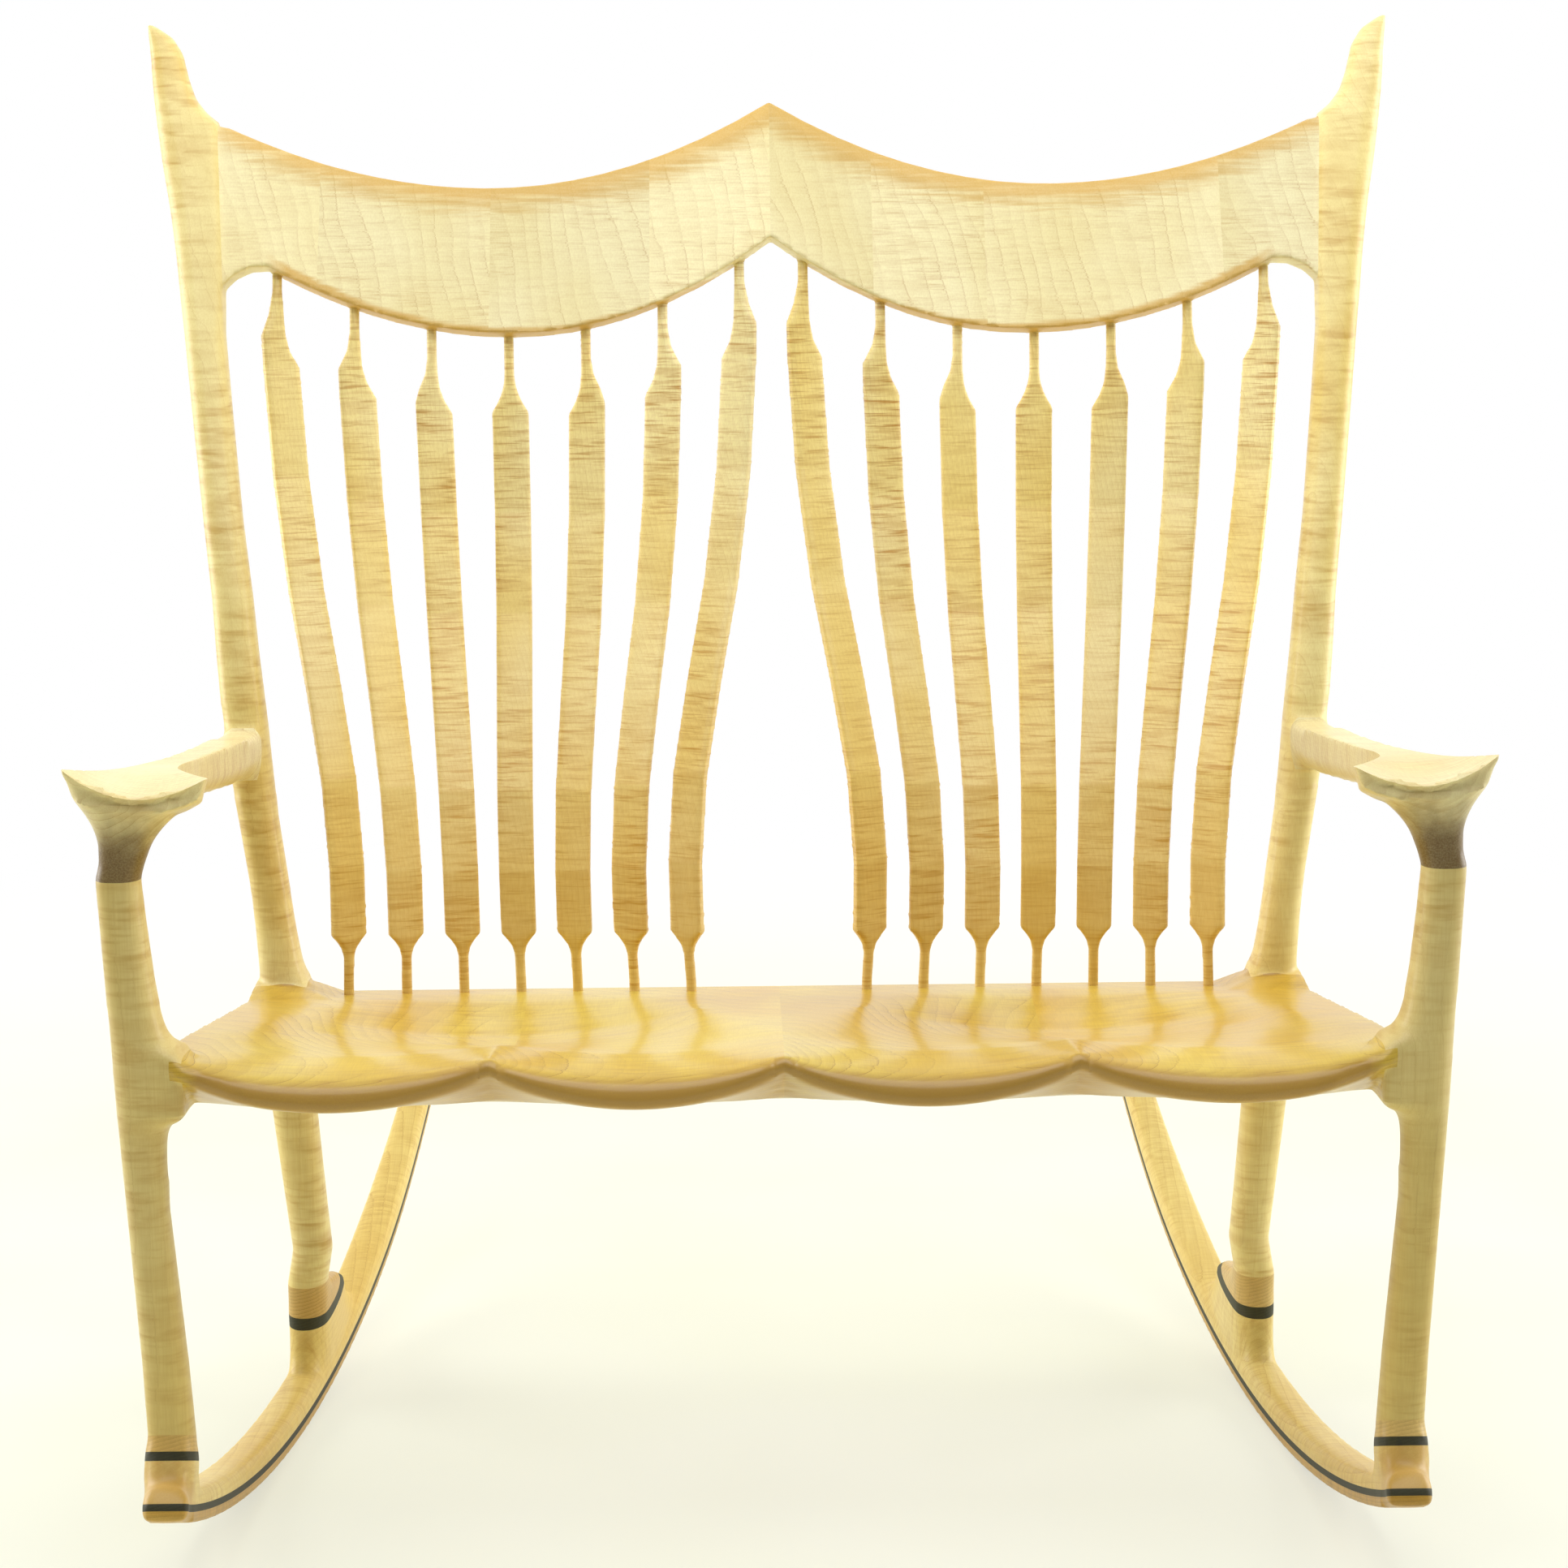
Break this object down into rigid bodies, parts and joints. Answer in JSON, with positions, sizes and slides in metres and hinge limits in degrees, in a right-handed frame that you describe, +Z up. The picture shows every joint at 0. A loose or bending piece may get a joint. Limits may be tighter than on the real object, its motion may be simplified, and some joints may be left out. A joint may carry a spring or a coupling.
{
  "type": "rocking bench",
  "caption": "Wooden rocking bench with a sculpted seat, bent back spindles, a scooped crest rail, flared arms and laminated rockers.",
  "frame": {"origin": "middle of the bounding box at floor level", "axes": "+Z up, +X across the bench to the right of someone who faces it, +Y from the front edge to the back"},
  "size_m": [1.12, 0.941, 1.19],
  "materials": {
    "maple": "oiled satin, curly figure",
    "seat_maple": "oiled semi-gloss, curly figure",
    "dark_maple": "oiled satin",
    "black_veneer": "oiled satin",
    "birch": "bare",
    "steel": "plated"
  },
  "bodies": {
    "root": {"arm_dowel_left": "birch", "arm_dowel_right": "birch", "arm_left": "maple", "arm_right": "maple", "arm_screw_left": "steel", "arm_screw_right": "steel", "back_foot_block_left": "dark_maple", "back_foot_block_right": "dark_maple", "back_foot_dowel_left": "birch", "back_foot_dowel_right": "birch", "back_foot_spacer_left": "black_veneer", "back_foot_spacer_right": "black_veneer", "back_leg_left": "maple", "back_leg_right": "maple", "back_seat_screw_left": "steel", "back_seat_screw_right": "steel", "crest_screw_left": "steel", "crest_screw_right": "steel", "crest_stave_1": "maple", "crest_stave_2": "maple", "crest_stave_3": "maple", "crest_stave_4": "maple", "crest_stave_5": "maple", "crest_stave_6": "maple", "crest_stave_7": "maple", "crest_stave_8": "maple", "front_foot_block_left": "dark_maple", "front_foot_block_right": "dark_maple", "front_foot_dowel_left": "birch", "front_foot_dowel_right": "birch", "front_foot_spacer_left": "black_veneer", "front_foot_spacer_right": "black_veneer", "front_leg_left": "maple", "front_leg_right": "maple", "front_seat_screw_left": "steel", "front_seat_screw_right": "steel", "rocker_body_left": "maple", "rocker_body_right": "maple", "rocker_sole_left": "maple", "rocker_sole_right": "maple", "rocker_veneer_left": "black_veneer", "rocker_veneer_right": "black_veneer", "seat_inner_board_left": "seat_maple", "seat_inner_board_right": "seat_maple", "seat_outer_board_left": "seat_maple", "seat_outer_board_right": "seat_maple", "spindle_1_left": "maple", "spindle_1_right": "maple", "spindle_2_left": "maple", "spindle_2_right": "maple", "spindle_3_left": "maple", "spindle_3_right": "maple", "spindle_4_left": "maple", "spindle_4_right": "maple", "spindle_5_left": "maple", "spindle_5_right": "maple", "spindle_6_left": "maple", "spindle_6_right": "maple", "spindle_7_left": "maple", "spindle_7_right": "maple"}
  },
  "joints": []
}
